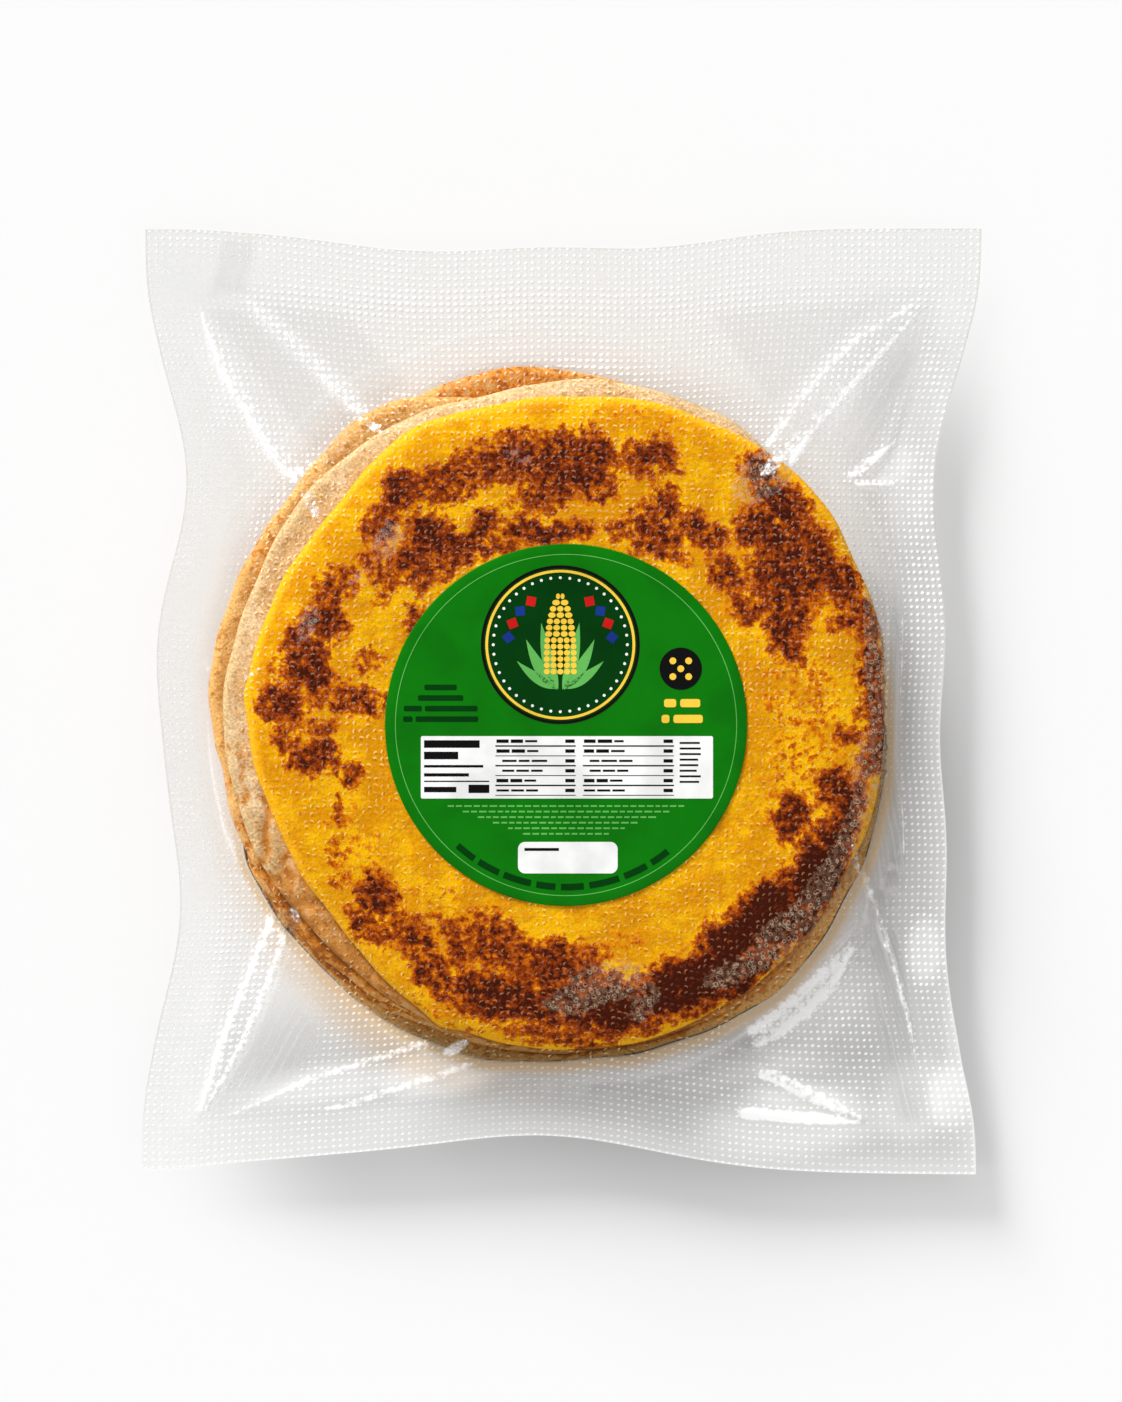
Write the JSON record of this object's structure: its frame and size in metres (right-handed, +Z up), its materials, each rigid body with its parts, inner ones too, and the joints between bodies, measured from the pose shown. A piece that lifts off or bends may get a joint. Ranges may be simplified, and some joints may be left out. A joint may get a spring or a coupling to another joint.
{
  "type": "packed cachapas",
  "caption": "Stack of round flat corn cakes with toasted patches, sealed in a clear embossed pouch that is drawn tight over them, with a round green label on top.",
  "frame": {"origin": "on the surface the pack lies on, under the middle of the pouch", "axes": "+Z up out of the label, +Y towards the top edge of the label's layout, +X to its right"},
  "size_m": [0.234, 0.264, 0.0242],
  "materials": {
    "film": "clear embossed film over the yellow and brown cakes",
    "cake": "moist cooked corn batter, yellow with toasted brown patches and paler tan sides",
    "label_green": "satin coated paper label, mid green",
    "print_dark_green": "printed dark green",
    "print_gold": "printed golden yellow",
    "print_white": "printed white",
    "print_black": "printed black"
  },
  "bodies": {
    "root": {"pouch": "film", "label": "label_green"}
  },
  "joints": []
}
